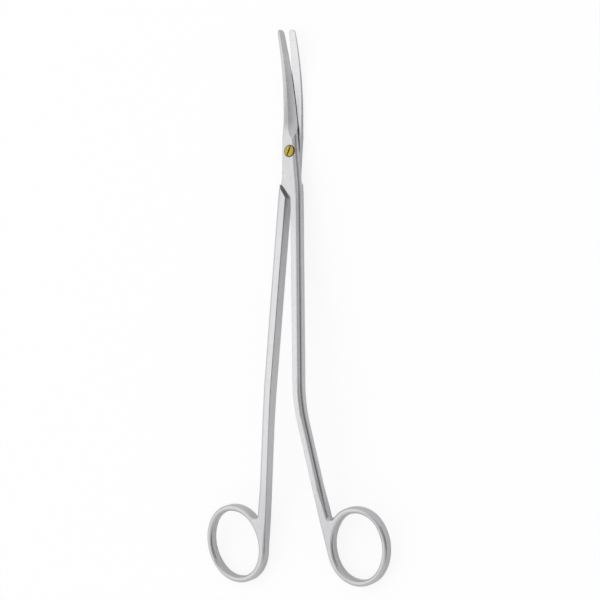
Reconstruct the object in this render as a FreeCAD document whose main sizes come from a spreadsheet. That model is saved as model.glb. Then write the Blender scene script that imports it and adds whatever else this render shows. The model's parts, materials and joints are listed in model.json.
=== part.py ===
import FreeCAD, Part
import math
import os
import Sketcher

# Dissecting scissors: two forged halves crossing in a lap joint, held by one slotted screw.
#
# Each half is built lying closed: the pivot axis is Z, the lap plane is Z = 0, +Y runs to the
# tip and -Y to the finger ring. On the upper half the blade's cutting edge and the shank are on
# +X and its metal is above the lap plane. The lower half has the mirror image of that plan and
# its metal is below. Both blades curve up and both handles drop, as a pair has to. The placements
# at the end open the halves and lay the instrument on its ring ends and blade bellies.

NEAR = 0.01

SIZES = [
    ("lap_half_thickness", 2.7, "thickness of each half at the lap joint"),
    ("lap_gap", 0.06, "running gap between the two lap faces"),
    ("ride_radius", 8.5, "pivot axis to the end of the lap faces that touch"),
    ("blade_gap", 0.16, "set between the facing sides of the blades"),
    ("rest_half_angle", 3.05, "angle of each half from closed, as the instrument lies, degrees"),
    ("blade_length", 55.2, "pivot axis to blade tip"),
    ("blade_flat_length", 10.0, "pivot axis to the start of the blade's curve"),
    ("blade_curve_radius", 124.7, "radius of the curved blade's facing side"),
    ("blade_root_spine", 4.2, "pivot axis to spine"),
    ("blade_root_edge", 3.75, "pivot axis to the side of the cutting edge"),
    ("blade_tip_radius", 1.65, "round of the blunt tip"),
    ("spine_bulge", 0.1, "crown of the spine between pivot and tip"),
    ("edge_hollow", 0.45, "hollow of the cutting edge between lap and tip"),
    ("ridge_offset", 0.5, "ridge of the blade, from the middle plane towards the spine"),
    ("ridge_start", 9.7, "pivot axis to the point where the ridge leaves the flat of the joint"),
    ("ridge_tip_height", 1.0, "blade thickness at the ridge, at the tip"),
    ("spine_share", 0.62, "height of the spine as a share of the ridge's"),
    ("edge_land", 0.12, "thickness left at the cutting edge"),
    ("grind_start", 2.0, "pivot axis to the start of the ground faces"),
    ("grind_run", 12.0, "length over which the ground faces reach full depth"),
    ("grind_spacing", 5.0, "distance between the sections that shape the ground faces"),
    ("blade_overrun", 3.0, "how far cutting tools reach past the tip"),
    ("shoulder_distance", 12.8, "pivot axis to the slanting end of the lap"),
    ("shoulder_gap", 0.35, "gap between lap end and shoulder when closed"),
    ("shoulder_angle", 53.13, "slant of the shoulder from the X direction, degrees"),
    ("shoulder_corner", 4.39, "pivot plane to the outer corner of the lap end"),
    ("shank_gap", 0.33, "gap between the two shanks when closed"),
    ("shank_start", 22.0, "pivot axis to the start of the parallel shank"),
    ("taper_start", 34.0, "pivot axis to the start of the shank's taper"),
    ("shank_width", 5.0, "width of the shank at its start"),
    ("shank_end_width", 4.7, "width of the shank at the ring"),
    ("shank_round", 2.4, "round of the outer side of the shank"),
    ("shank_break", 0.35, "broken edges of the flat inner side"),
    ("lap_break", 0.45, "rounded free edge of the lap"),
    ("bend_distance", 115.7, "pivot axis to the corner of the bend"),
    ("bend_half_length", 8.3, "bend corner to each end of the bend"),
    ("splay_angle", 5.96, "sideways bend of the handle, degrees"),
    ("drop_half_length", 10.0, "bend corner to each end of the bend, seen from the side"),
    ("drop_angle", 12.89, "downward bend of the handle, degrees"),
    ("ring_distance", 68.8, "bend corner to ring centre, along the handle"),
    ("ring_opening_width", 26.0, "finger opening across"),
    ("ring_opening_length", 31.0, "finger opening along"),
    ("ring_turn", 15.3, "inward turn of the ring's long axis from the handle, degrees"),
    ("ring_bar", 2.8, "width of the ring's bar on its outer side"),
    ("ring_inner_bar", 3.5, "width of the ring's bar where it continues the shank"),
    ("ring_thickness", 5.0, "thickness of the ring"),
    ("ring_round", 1.25, "rounded edges of the ring's bar"),
    ("ring_blend", 20.0, "length over which the shank's edges change into the ring's"),
    ("crotch_radius", 1.6, "corner between shank and ring"),
    ("screw_shank_diameter", 3.6, "plain shank of the screw"),
    ("screw_clearance", 0.05, "running clearance round the screw's shank, radial"),
    ("screw_head_diameter", 5.3, "head of the screw"),
    ("screw_head_height", 1.3, "height of the head"),
    ("screw_head_proud", 0.45, "head standing out of its seat"),
    ("screw_seat_clearance", 0.12, "gap round the head, radial"),
    ("screw_end_depth", 0.1, "end of the screw below the rear face"),
    ("screw_dome", 0.25, "crown of the head's top"),
    ("screw_slot_width", 0.85, "driver slot"),
    ("screw_slot_depth", 0.55, "driver slot"),
    ("screw_slot_angle", 111.0, "direction of the slot from X, degrees"),
]


def make_sheet(doc):
    """The driving sizes, one row each: name, millimetres or degrees, meaning."""
    sheet = doc.addObject("Spreadsheet::Sheet", "Sizes")
    for row, (name, value, meaning) in enumerate(SIZES, start=1):
        sheet.set("A%d" % row, name)
        sheet.set("B%d" % row, str(value))
        sheet.set("C%d" % row, meaning)
        sheet.setAlias("B%d" % row, name)
    doc.recompute()
    return sheet


def cell(sheet, name):
    """A size read from the sheet."""
    return float(sheet.get(name))


def along(angle):
    """Unit vector in the plan, at an angle in degrees from +X."""
    return FreeCAD.Vector(math.cos(math.radians(angle)), math.sin(math.radians(angle)), 0)


def handle_plane(sheet):
    """Placement of the handle's middle plane: the bend's corner is its origin, and it drops to -Y."""
    corner = FreeCAD.Vector(0, -cell(sheet, "bend_distance"), 0)
    return FreeCAD.Placement(corner, turn(FreeCAD.Vector(1, 0, 0), cell(sheet, "drop_angle")).Rotation)


class Oval:
    """An oval of four arcs that meet tangentially, close to an ellipse."""

    def __init__(self, centre, long_axis, short_axis, length, width):
        self.centre = centre
        self.long_axis = long_axis
        self.short_axis = short_axis
        self.length = length
        self.width = width
        self.end_radius = (width ** 2 / length + width) / 2
        end = length - self.end_radius
        self.side_radius = (end ** 2 + width ** 2 - self.end_radius ** 2) / (
            2 * (width - self.end_radius))
        self.half_turn = math.atan2(end, self.side_radius - width)

    def side_place(self, side, angle):
        """A place on a side arc: side is 1 or -1 on the short axis, angle from it to the long one."""
        middle_point = self.centre - self.short_axis * (side * (self.side_radius - self.width))
        leaning = self.short_axis * (side * math.cos(angle)) + self.long_axis * math.sin(angle)
        return middle_point + leaning * self.side_radius

    def wire(self, split=0):
        """Its outline, with one more vertex at an angle on the side arc that faces the handle."""
        corner = self.half_turn
        foot = self.centre + self.long_axis * self.length
        head = self.centre - self.long_axis * self.length
        side = self.side_place
        curves = [
            Part.Arc(side(1, -corner), side(1, 0), side(1, corner)),
            Part.Arc(side(1, corner), foot, side(-1, corner)),
            Part.Arc(side(-1, corner), side(-1, (corner + split) / 2), side(-1, split)),
            Part.Arc(side(-1, split), side(-1, (split - corner) / 2), side(-1, -corner)),
            Part.Arc(side(-1, -corner), head, side(1, -corner)),
        ]
        return Part.Wire([curve.toShape() for curve in curves])


class RingLayout:
    """Where the finger ring lies in the handle's plane, worked out from the handle's sizes."""

    def __init__(self, sheet):
        splay = cell(sheet, "splay_angle")
        lean = math.radians(cell(sheet, "ring_turn"))
        turned = splay - cell(sheet, "ring_turn")
        inner, outer = cell(sheet, "ring_inner_bar"), cell(sheet, "ring_bar")
        self.down = along(splay - 90)
        self.outward = along(splay)
        axes = (along(turned - 90), along(turned))
        opening_width = cell(sheet, "ring_opening_width") / 2
        opening_length = cell(sheet, "ring_opening_length") / 2
        width = opening_width + (inner + outer) / 2
        length = opening_length + outer
        flat = Oval(FreeCAD.Vector(), *axes, length, width)
        self.touch_angle = lean
        half_breadth = flat.side_radius - (flat.side_radius - width) * math.cos(lean)
        corner = FreeCAD.Vector(cell(sheet, "shank_gap") / 2, 0, 0)
        foot = corner + self.down * cell(sheet, "ring_distance")
        centre = foot + self.outward * half_breadth
        self.rim = Oval(centre, *axes, length, width)
        self.hole = Oval(centre + axes[1] * ((inner - outer) / 2), *axes,
                         opening_length, opening_width)
        self.touch = self.rim.side_place(-1, lean)


def overlap(sheet):
    """Where the handle's outline starts and the lap's ends, both on the parallel shank."""
    start = cell(sheet, "shank_start")
    share = (cell(sheet, "taper_start") - start) / 3
    return start + share, start + 2 * share


def shank_side(start_offset, end_offset, sheet, ring):
    """Points of one side of the shank in the handle's plane: its top, then the parts of the bend.

    They are the top, the start of the taper, and the start, middle and end of the bend.
    """
    inner_x = cell(sheet, "shank_gap") / 2
    half_run = cell(sheet, "bend_half_length")
    level = math.cos(math.radians(cell(sheet, "drop_angle")))
    bend = cell(sheet, "bend_distance")
    taper_start = cell(sheet, "taper_start")
    top = FreeCAD.Vector(inner_x + start_offset, (bend - overlap(sheet)[0]) * level, 0)
    start = FreeCAD.Vector(inner_x + start_offset, (bend - taper_start) * level, 0)
    corner = FreeCAD.Vector(inner_x + end_offset, 0, 0)
    upward = (start - corner).normalize()
    half_turn = math.acos(upward.dot(ring.down)) / 2
    inside = (upward + ring.down).normalize()
    radius = half_run * math.tan(half_turn)
    middle_point = corner + inside * (radius / math.sin(half_turn) - radius)
    return [top, start, corner + upward * half_run, middle_point, corner + ring.down * half_run]


def blade_side_x(sheet, root, distance):
    """Half width of the blade at a distance from the pivot, on a straight side."""
    tip = cell(sheet, "blade_tip_radius")
    reach = cell(sheet, "blade_length") - tip
    return root + (tip - root) * distance / reach


def cutting_edge_x(sheet, distance):
    """Half width of the blade on its slightly hollow cutting side."""
    start = cell(sheet, "blade_flat_length")
    reach = cell(sheet, "blade_length") - cell(sheet, "blade_tip_radius")
    share = min(1, max(0, (distance - start) / (reach - start)))
    hollow = 4 * cell(sheet, "edge_hollow") * share * (1 - share)
    return blade_side_x(sheet, cell(sheet, "blade_root_edge"), distance) - hollow


def lap_end_y(sheet, distance, x):
    """Where the slanting line at a distance from the pivot passes a place across the shank."""
    normal = along(90 - cell(sheet, "shoulder_angle"))
    return (-distance - x * normal.x) / normal.y


def lap_outline(sheet):
    """Closed outline of the lap and the start of the shank, seen along the pivot axis."""
    block_end = cell(sheet, "blade_flat_length")
    lap_end = cell(sheet, "shoulder_distance")
    root_edge = cell(sheet, "blade_root_edge")
    inner_x = cell(sheet, "shank_gap") / 2
    outer_x = inner_x + cell(sheet, "shank_width")
    corner_x = -cell(sheet, "shoulder_corner")
    spine_x = blade_side_x(sheet, cell(sheet, "blade_root_spine"), block_end)
    edge_x = blade_side_x(sheet, root_edge, block_end)
    corner = FreeCAD.Vector(corner_x, lap_end_y(sheet, lap_end, corner_x), 0)
    notch = FreeCAD.Vector(inner_x, lap_end_y(sheet, lap_end, inner_x), 0)
    top_left = FreeCAD.Vector(-spine_x, block_end, 0)
    top_right = FreeCAD.Vector(edge_x, block_end, 0)
    shank = FreeCAD.Vector(outer_x, -cell(sheet, "shank_start"), 0)
    inner_end = FreeCAD.Vector(inner_x, -overlap(sheet)[1], 0)
    outer_end = FreeCAD.Vector(outer_x, -overlap(sheet)[1], 0)
    waist = FreeCAD.Vector(root_edge, 0, 0)
    flare = Part.BSplineCurve()
    flare.interpolate(
        Points=[shank, waist, top_right],
        InitialTangent=FreeCAD.Vector(0, 1, 0),
        FinalTangent=(top_right - waist).normalize(),
    )
    curves = [
        Part.LineSegment(top_left, corner),
        Part.LineSegment(corner, notch),
        Part.LineSegment(notch, inner_end),
        Part.LineSegment(inner_end, outer_end),
        Part.LineSegment(outer_end, shank),
        flare,
        Part.LineSegment(top_right, top_left),
    ]
    return Part.Wire([curve.toShape() for curve in curves])


def free_edges(shape):
    """The edges that belong to one face only."""
    edges = [edge for face in shape.Faces for edge in face.Edges]
    codes = [edge.hashCode() for edge in edges]
    return [edge for edge, code in zip(edges, codes) if codes.count(code) == 1]


def handle_face(sheet, ring):
    """Shank and ring in the handle's plane, for the half with its ring on +X, and their crotch."""
    end_width = cell(sheet, "shank_end_width")
    blend = ring.down * cell(sheet, "ring_blend")
    inner = shank_side(0, 0, sheet, ring)
    outer = shank_side(cell(sheet, "shank_width"), end_width, sheet, ring)
    beyond = ring.touch + ring.outward * end_width
    rim = ring.rim.wire(ring.touch_angle)
    meeting = rim.section(Part.LineSegment(outer[4], beyond).toShape()).Vertexes
    crotch = min((vertex.Point for vertex in meeting), key=lambda place: (place - outer[4]).Length)
    curves = [
        Part.LineSegment(inner[0], inner[2]),
        Part.Arc(inner[2], inner[3], inner[4]),
        Part.LineSegment(inner[4], ring.touch - blend),
        Part.LineSegment(ring.touch - blend, ring.touch),
        Part.LineSegment(ring.touch, beyond),
        Part.LineSegment(beyond, crotch),
        Part.LineSegment(crotch, crotch - blend),
        Part.LineSegment(crotch - blend, outer[4]),
        Part.Arc(outer[4], outer[3], outer[2]),
        Part.LineSegment(outer[2], outer[1]),
        Part.LineSegment(outer[1], outer[0]),
        Part.LineSegment(outer[0], inner[0]),
    ]
    shank = Part.Face(Part.Wire([curve.toShape() for curve in curves]))
    opened = shank.fuse(Part.Face(rim)).cut(Part.Face(ring.hole.wire()))
    outlines = [Part.Wire(group) for group in Part.sortEdges(free_edges(opened))]
    hole, outline = sorted(outlines, key=lambda wire: wire.BoundBox.DiagonalLength)
    return Part.Face(outline).cut(Part.Face(hole)), crotch


def blade_outline(sheet):
    """Closed outline of the blade from the end of the lap block to the blunt tip."""
    start = cell(sheet, "blade_flat_length")
    tip = cell(sheet, "blade_tip_radius")
    reach = cell(sheet, "blade_length") - tip
    spine_x = blade_side_x(sheet, cell(sheet, "blade_root_spine"), start)
    edge_x = blade_side_x(sheet, cell(sheet, "blade_root_edge"), start)
    spine_root = FreeCAD.Vector(-spine_x, start, 0)
    edge_root = FreeCAD.Vector(edge_x, start, 0)
    spine_tip = FreeCAD.Vector(-tip, reach, 0)
    edge_tip = FreeCAD.Vector(tip, reach, 0)
    crown = (spine_root + spine_tip) * 0.5 - FreeCAD.Vector(cell(sheet, "spine_bulge"), 0, 0)
    halfway = (start + reach) / 2
    waist = FreeCAD.Vector(cutting_edge_x(sheet, halfway), halfway, 0)
    curves = [
        Part.Arc(spine_root, crown, spine_tip),
        Part.Arc(spine_tip, FreeCAD.Vector(0, reach + tip, 0), edge_tip),
        Part.Arc(edge_tip, waist, edge_root),
        Part.LineSegment(edge_root, spine_root),
    ]
    return Part.Wire([curve.toShape() for curve in curves])


def facing_height(sheet, distance):
    """Height of the facing sides of the blades above the lap plane."""
    run = max(0, distance - cell(sheet, "blade_flat_length"))
    radius = cell(sheet, "blade_curve_radius")
    return radius - math.sqrt(radius ** 2 - run ** 2)


def ground_section(sheet, layer, distance):
    """What the grinding takes off outside the blade, as one section across it.

    The upper half (layer 1) is ground from above and the lower one (layer -1) from below.
    """
    length = cell(sheet, "blade_length")
    start = cell(sheet, "ridge_start")
    full = cell(sheet, "lap_half_thickness")
    slope = (full - cell(sheet, "ridge_tip_height")) / (length - start)
    ridge = full - slope * (distance - start)
    depth = min(1, max(0, (distance - cell(sheet, "grind_start")) / cell(sheet, "grind_run")))
    depth = depth * depth * (3 - 2 * depth)
    spine = ridge * (1 - (1 - cell(sheet, "spine_share")) * depth)
    edge = ridge * (1 - depth) + cell(sheet, "edge_land") * depth
    spine_x = -blade_side_x(sheet, cell(sheet, "blade_root_spine"), distance)
    edge_x = cutting_edge_x(sheet, distance)
    ridge_x = -cell(sheet, "ridge_offset")
    facing = facing_height(sheet, distance) + layer * cell(sheet, "blade_gap") / 2
    margin = cell(sheet, "blade_root_edge")
    spine_slope = (ridge - spine) / (ridge_x - spine_x)
    edge_slope = (ridge - edge) / (edge_x - ridge_x)
    clear = layer * cell(sheet, "blade_curve_radius") / 2
    corners = [
        (spine_x - margin, facing + layer * (spine - spine_slope * margin)),
        (ridge_x, facing + layer * ridge),
        (edge_x + margin, facing + layer * (edge - edge_slope * margin)),
        (edge_x + margin, clear),
        (spine_x - margin, clear),
    ]
    places = [FreeCAD.Vector(layer * x, distance, z) for x, z in corners]
    return Part.makePolygon(places + places[:1])


def make_face(doc, name, face):
    """A flat face as an object of the document."""
    item = doc.addObject("Part::Feature", name)
    item.Shape = face
    return item


def extrude(doc, name, base, direction, forward, backward):
    """A straight extrusion whose two lengths are expressions."""
    item = doc.addObject("Part::Extrusion", name)
    item.Base = base
    item.DirMode = "Custom"
    item.Dir = direction
    item.Solid = True
    item.setExpression("LengthFwd", forward)
    item.setExpression("LengthRev", backward)
    return item


def boolean(doc, kind, name, base, tool):
    """Part::Cut, Part::Fuse or Part::Common of two objects."""
    item = doc.addObject(kind, name)
    item.Base = base
    item.Tool = tool
    item.Refine = False
    return item


def mirrored(doc, name, source):
    """The mirror image about the plane X = 0."""
    item = doc.addObject("Part::Mirroring", name)
    item.Source = source
    item.Base = FreeCAD.Vector(0, 0, 0)
    item.Normal = FreeCAD.Vector(1, 0, 0)
    return item


def add_lines(sketch, places):
    """A closed polygon whose corners are joined by coincident constraints."""
    count = len(places)
    for index in range(count):
        start = FreeCAD.Vector(*places[index], 0)
        end = FreeCAD.Vector(*places[(index + 1) % count], 0)
        sketch.addGeometry(Part.LineSegment(start, end))
    for index in range(count):
        sketch.addConstraint(Sketcher.Constraint("Coincident", index, 2, (index + 1) % count, 1))


def bind(sketch, name, formula, *constraint):
    """A named dimension of a sketch, bound to the sheet."""
    index = sketch.addConstraint(Sketcher.Constraint(*constraint))
    sketch.renameConstraint(index, name)
    sketch.setExpression("Constraints." + name, formula)


def side_band(doc, sheet):
    """Lap, shank and ring seen from the side: one bar bent down at the handle.

    The bar is thicker at the lap than at the ring, and beyond the bend its two faces are parallel.
    """
    thick = cell(sheet, "lap_half_thickness")
    ring_half = cell(sheet, "ring_thickness") / 2
    start = cell(sheet, "blade_flat_length")
    bend = cell(sheet, "bend_distance")
    half_run = cell(sheet, "drop_half_length")
    drop = math.radians(cell(sheet, "drop_angle"))
    radius = half_run / math.tan(drop / 2)
    reach = bend + 2 * cell(sheet, "ring_distance")
    sketch = doc.addObject("Sketcher::SketchObject", "side_outline")
    sketch.Placement = FreeCAD.Placement(
        FreeCAD.Vector(0, 0, 0), FreeCAD.Rotation(FreeCAD.Vector(1, 1, 1), 120)
    )
    ends = []
    for side in (1, -1):
        level = side * thick
        run = side * (ring_half * math.cos(drop) - thick) / math.sin(drop)
        corner = -bend - side * ring_half * math.sin(drop) - run * math.cos(drop)
        flat_end = corner + half_run
        low = level - (corner + reach) * math.tan(drop)
        top_line = Part.LineSegment(
            FreeCAD.Vector(start, level, 0), FreeCAD.Vector(flat_end, level, 0)
        )
        centre = FreeCAD.Vector(flat_end, level - radius, 0)
        circle = Part.Circle(centre, FreeCAD.Vector(0, 0, 1), radius)
        arc = Part.ArcOfCircle(circle, math.pi / 2, math.pi / 2 + drop)
        bend_end = FreeCAD.Vector(corner - half_run * math.cos(drop),
                                  level - half_run * math.sin(drop), 0)
        ends.append(FreeCAD.Vector(-reach, low, 0))
        sketch.addGeometry([top_line, arc, Part.LineSegment(bend_end, ends[-1])])
    block_line = sketch.addGeometry(Part.LineSegment(
        FreeCAD.Vector(start, -thick, 0), FreeCAD.Vector(start, thick, 0)))
    handle_line = sketch.addGeometry(Part.LineSegment(*ends))
    bend_corner = sketch.addGeometry(Part.Point(FreeCAD.Vector(-bend, 0, 0)), True)
    for first in (0, 3):
        sketch.addConstraint([
            Sketcher.Constraint("Tangent", first, 2, first + 1, 1),
            Sketcher.Constraint("Tangent", first + 1, 2, first + 2, 1),
            Sketcher.Constraint("Horizontal", first),
        ])
    sketch.addConstraint([
        Sketcher.Constraint("Coincident", block_line, 1, 3, 1),
        Sketcher.Constraint("Coincident", block_line, 2, 0, 1),
        Sketcher.Constraint("Coincident", handle_line, 1, 2, 2),
        Sketcher.Constraint("Coincident", handle_line, 2, 5, 2),
        Sketcher.Constraint("Vertical", block_line),
        Sketcher.Constraint("Vertical", handle_line),
        Sketcher.Constraint("PointOnObject", bend_corner, 1, -1),
    ])
    bind(sketch, "block", "Sizes.blade_flat_length", "DistanceX", -1, 1, 0, 1, start)
    bind(sketch, "top", "Sizes.lap_half_thickness", "DistanceY", -1, 1, 0, 1, thick)
    bind(sketch, "bottom", "Sizes.lap_half_thickness", "DistanceY", 3, 1, -1, 1, thick)
    bind(sketch, "bend", "Sizes.bend_distance", "DistanceX", bend_corner, 1, -1, 1, bend)
    radius_rule = "Sizes.drop_half_length / tan(Sizes.drop_angle * 0.5 deg)"
    for side, first in (("top", 0), ("bottom", 3)):
        bind(sketch, side + "_radius", radius_rule, "Radius", first + 1, radius)
        bind(sketch, side + "_drop", "Sizes.drop_angle * 1 deg", "Angle", first + 1, drop)
        bind(sketch, side + "_offset", "Sizes.ring_thickness / 2",
             "Distance", bend_corner, 1, first + 2, ring_half)
    reach_rule = "Sizes.bend_distance + 2 * Sizes.ring_distance"
    bind(sketch, "reach", reach_rule, "DistanceX", 2, 2, -1, 1, reach)
    width = "2 * (Sizes.ring_opening_width + Sizes.ring_inner_bar + Sizes.ring_bar)"
    return extrude(doc, "side_band", sketch, FreeCAD.Vector(1, 0, 0), width, width)


def facing_tool(doc, sheet, name, layer):
    """What lies on the far side of a blade's facing side, in front of the pivot.

    It is turned about the pivot axis, so that the blades pass each other at every angle.
    """
    ride = cell(sheet, "ride_radius")
    flat = cell(sheet, "blade_flat_length")
    lap = layer * cell(sheet, "lap_gap") / 2
    blade = layer * cell(sheet, "blade_gap") / 2
    radius = cell(sheet, "blade_curve_radius")
    reach = cell(sheet, "blade_length") + cell(sheet, "blade_overrun")
    swing = math.asin((reach - flat) / radius)
    far = -layer * radius / 2
    rise = blade + radius * (1 - math.cos(swing))
    sketch = doc.addObject("Sketcher::SketchObject", name + "_facing_profile")
    sketch.Placement = FreeCAD.Placement(
        FreeCAD.Vector(0, 0, 0), FreeCAD.Rotation(FreeCAD.Vector(1, 0, 0), 90)
    )
    places = [(0, lap), (ride, lap), (ride, blade), (flat, blade)]
    for first, last in zip(places, places[1:]):
        sketch.addGeometry(Part.LineSegment(FreeCAD.Vector(*first, 0), FreeCAD.Vector(*last, 0)))
    centre = FreeCAD.Vector(flat, blade + radius, 0)
    circle = Part.Circle(centre, FreeCAD.Vector(0, 0, 1), radius)
    sketch.addGeometry(Part.ArcOfCircle(circle, 1.5 * math.pi, 1.5 * math.pi + swing))
    last = [(reach, rise), (reach, far), (0, far), (0, lap)]
    for start, end in zip(last, last[1:]):
        sketch.addGeometry(Part.LineSegment(FreeCAD.Vector(*start, 0), FreeCAD.Vector(*end, 0)))
    sketch.addConstraint([
        Sketcher.Constraint("Coincident", 0, 2, 1, 1),
        Sketcher.Constraint("Coincident", 1, 2, 2, 1),
        Sketcher.Constraint("Tangent", 2, 2, 3, 1),
        Sketcher.Constraint("Coincident", 3, 2, 4, 1),
        Sketcher.Constraint("Coincident", 4, 2, 5, 1),
        Sketcher.Constraint("Coincident", 5, 2, 6, 1),
        Sketcher.Constraint("Coincident", 6, 2, 0, 1),
        Sketcher.Constraint("Horizontal", 0),
        Sketcher.Constraint("Vertical", 1),
        Sketcher.Constraint("Horizontal", 2),
        Sketcher.Constraint("Vertical", 4),
        Sketcher.Constraint("Horizontal", 5),
        Sketcher.Constraint("PointOnObject", 6, 2, -2),
        Sketcher.Constraint("Vertical", 6),
    ])
    ends = (-1, 1, 0, 1) if layer > 0 else (0, 1, -1, 1)
    bind(sketch, "lap", "Sizes.lap_gap / 2", "DistanceY", *ends, abs(lap))
    ends = (-1, 1, 2, 1) if layer > 0 else (2, 1, -1, 1)
    bind(sketch, "blade", "Sizes.blade_gap / 2", "DistanceY", *ends, abs(blade))
    bind(sketch, "ride", "Sizes.ride_radius", "DistanceX", -1, 1, 0, 2, ride)
    bind(sketch, "flat", "Sizes.blade_flat_length", "DistanceX", -1, 1, 2, 2, flat)
    bind(sketch, "curve", "Sizes.blade_curve_radius", "Radius", 3, radius)
    bind(sketch, "reach", "Sizes.blade_length + Sizes.blade_overrun", "DistanceX", -1, 1, 3, 2, reach)
    ends = (5, 2, -1, 1) if layer > 0 else (-1, 1, 5, 2)
    bind(sketch, "depth", "Sizes.blade_curve_radius / 2", "DistanceY", *ends, radius / 2)
    item = doc.addObject("Part::Revolution", name + "_facing_tool")
    item.Source = sketch
    item.Axis = FreeCAD.Vector(0, 0, 1)
    item.Angle = 180
    item.Solid = True
    return item


def lap_tool(doc, sheet, name, layer):
    """The half thickness that is cut away behind the pivot, as far as the slanting shoulder."""
    width = 3 * cell(sheet, "blade_root_edge")
    distance = cell(sheet, "shoulder_distance") + cell(sheet, "shoulder_gap")
    near = lap_end_y(sheet, distance, -width)
    far = lap_end_y(sheet, distance, width)
    sketch = doc.addObject("Sketcher::SketchObject", name + "_lap_outline")
    corners = [(width, 0), (-width, 0), (-width, far), (width, near)]
    add_lines(sketch, [(layer * x, y) for x, y in corners])
    sketch.addConstraint([
        Sketcher.Constraint("PointOnObject", 0, 1, -1),
        Sketcher.Constraint("Symmetric", 0, 1, 0, 2, -1, 1),
        Sketcher.Constraint("Vertical", 1),
        Sketcher.Constraint("Vertical", 3),
    ])
    ends = (0, 2, 0, 1) if layer > 0 else (0, 1, 0, 2)
    bind(sketch, "width", "6 * Sizes.blade_root_edge", "DistanceX", *ends, 2 * width)
    rule = "Sizes.shoulder_distance + Sizes.shoulder_gap"
    bind(sketch, "shoulder", rule, "Distance", -1, 1, 2, distance)
    slant = math.radians(cell(sheet, "shoulder_angle"))
    if layer > 0:
        bind(sketch, "slant", "Sizes.shoulder_angle * 1 deg", "Angle", 2, slant)
    else:
        bind(sketch, "slant", "180 deg - Sizes.shoulder_angle * 1 deg", "Angle", 2, math.pi - slant)
    face_side = "Sizes.lap_gap / 2"
    far_side = "2 * Sizes.lap_half_thickness"
    return extrude(doc, name + "_lap_tool", sketch, FreeCAD.Vector(0, 0, -layer),
                   far_side, face_side)


def middle(edge):
    return edge.valueAt((edge.FirstParameter + edge.LastParameter) / 2)


def faces_up_or_down(face):
    low_u, high_u, low_v, high_v = face.ParameterRange
    return abs(face.normalAt((low_u + high_u) / 2, (low_v + high_v) / 2).z) > math.cos(math.pi / 4)


def rim_edges(shape):
    """Numbers of the edges between a side wall and the top or bottom of a bar."""
    neighbours = {}
    for face in shape.Faces:
        for edge in face.Edges:
            neighbours.setdefault(edge.hashCode(), []).append(face)
    numbers = []
    for number, edge in enumerate(shape.Edges, start=1):
        pair = neighbours[edge.hashCode()]
        if len(pair) == 2 and faces_up_or_down(pair[0]) != faces_up_or_down(pair[1]):
            numbers.append(number)
    return numbers


def rounding(sheet, ring, place):
    """Radius of the rim at a place: round outer side, broken inner side, rounded ring."""
    inner_x = cell(sheet, "shank_gap") / 2
    flat = handle_plane(sheet).inverse().multVec(place)
    flat = FreeCAD.Vector(flat.x, flat.y, 0)
    reach = ring.rim.length + 2 * cell(sheet, "crotch_radius")
    if (flat - ring.rim.centre).Length < reach:
        return cell(sheet, "ring_round")
    corner = FreeCAD.Vector(inner_x, 0, 0)
    offset = (flat - corner).dot(ring.outward) if flat.y < 0 else place.x - inner_x
    if offset < cell(sheet, "shank_end_width") / 2:
        return cell(sheet, "shank_break")
    return cell(sheet, "shank_round")


def round_handle(doc, sheet, ring, name, base, side):
    """Rounds the long edges; the free sides of the lap and its two ends stay as they are."""
    fillets = []
    inner_x = cell(sheet, "shank_gap") / 2
    block_end = cell(sheet, "blade_flat_length")
    for number in rim_edges(base.Shape):
        edge = base.Shape.Edges[number - 1]
        centre = middle(edge)
        across_x = centre.x * side
        if abs(centre.y - block_end) < NEAR:
            continue
        if across_x < inner_x and centre.y > -cell(sheet, "shank_start"):
            direction = edge.tangentAt(edge.FirstParameter)
            if abs(direction.y) > abs(direction.x):
                radius = cell(sheet, "lap_break")
                fillets.append((number, radius, radius))
            continue
        radii = []
        for parameter in (edge.FirstParameter, edge.LastParameter):
            place = edge.valueAt(parameter)
            upright = FreeCAD.Vector(place.x * side, place.y, place.z)
            radii.append(rounding(sheet, ring, upright))
        fillets.append((number, radii[0], radii[1]))
    item = doc.addObject("Part::Fillet", name + "_rounded_handle")
    item.Base = base
    item.Edges = fillets
    return item


def make_handle_plan(doc, sheet, ring):
    """Lap, shank and ring as one upright body, as tall as the bent bar needs."""
    lap_plan = make_face(doc, "lap_plan", Part.Face(lap_outline(sheet)))
    lap_height = "2 * Sizes.lap_half_thickness"
    lap_prism = extrude(doc, "lap_prism", lap_plan, FreeCAD.Vector(0, 0, 1), lap_height, lap_height)
    face, crotch = handle_face(sheet, ring)
    plane = handle_plane(sheet)
    face.Placement = plane
    handle_plan = make_face(doc, "handle_plan", face)
    upright = plane.Rotation.multVec(FreeCAD.Vector(0, 0, 1))
    below = "Sizes.bend_distance * tan(Sizes.drop_angle * 1 deg) + Sizes.ring_thickness"
    handle_prism = extrude(doc, "handle_prism", handle_plan, upright,
                           "Sizes.ring_thickness", below)
    doc.recompute()
    crotch = plane.multVec(crotch)
    corner = [
        number for number, edge in enumerate(handle_prism.Shape.Edges, start=1)
        if edge.distToShape(Part.Vertex(crotch))[0] < NEAR
        and abs(edge.tangentAt(edge.FirstParameter).dot(upright)) > 1 - NEAR
    ]
    radius = cell(sheet, "crotch_radius")
    cornered = doc.addObject("Part::Fillet", "handle_prism_with_crotch")
    cornered.Base = handle_prism
    cornered.Edges = [(number, radius, radius) for number in corner]
    return boolean(doc, "Part::Fuse", "handle_and_lap_prism", lap_prism, cornered)


def make_blade_prism(doc, sheet):
    plan = make_face(doc, "blade_plan", Part.Face(blade_outline(sheet)))
    height = "Sizes.blade_curve_radius / 4"
    return extrude(doc, "blade_prism", plan, FreeCAD.Vector(0, 0, 1), height, height)


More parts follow.
